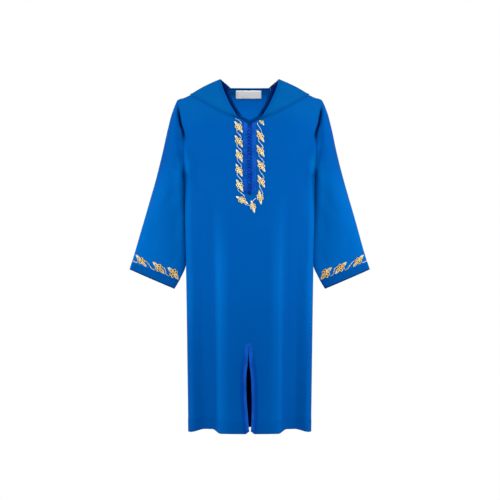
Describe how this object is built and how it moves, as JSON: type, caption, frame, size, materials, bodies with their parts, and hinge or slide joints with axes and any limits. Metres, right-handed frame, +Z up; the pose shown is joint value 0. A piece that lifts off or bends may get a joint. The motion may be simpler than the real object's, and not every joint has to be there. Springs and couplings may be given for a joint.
{
  "type": "djellaba robe",
  "caption": "Child's long hooded robe, filled out and hollow, with open neck, cuffs and hem, a buttoned chest band, a front hem slit and raised vines.",
  "frame": {"origin": "middle of the neck at the height of the shoulders, where the wearer carries the robe", "axes": "+Z up, from the hem to the neck; the robe's front looks along -Y; +X is the right of someone who looks at its front"},
  "size_m": [0.579, 0.1834, 0.843],
  "materials": {
    "blue_crepe": "soft matt crepe",
    "blue_satin": "satin ribbon",
    "navy_cord": "knotted silk cord",
    "gold_thread": "raised metallic embroidery",
    "white_label": "plain woven label"
  },
  "bodies": {
    "root": {"front": "blue_crepe", "back": "blue_crepe", "sleeve_left": "blue_crepe", "sleeve_right": "blue_crepe", "hood_left": "blue_crepe", "hood_right": "blue_crepe", "placket_left": "blue_satin", "placket_right": "blue_satin", "slit_band": "blue_satin", "button_01": "navy_cord", "button_02": "navy_cord", "button_03": "navy_cord", "button_04": "navy_cord", "button_05": "navy_cord", "button_06": "navy_cord", "button_07": "navy_cord", "button_08": "navy_cord", "button_09": "navy_cord", "button_10": "navy_cord", "button_11": "navy_cord", "button_12": "navy_cord", "button_13": "navy_cord", "button_14": "navy_cord", "button_15": "navy_cord", "button_16": "navy_cord", "button_17": "navy_cord", "button_18": "navy_cord", "button_19": "navy_cord", "label": "white_label", "neck_vine": "gold_thread", "cuff_vine_left": "gold_thread", "cuff_vine_right": "gold_thread"}
  },
  "joints": []
}
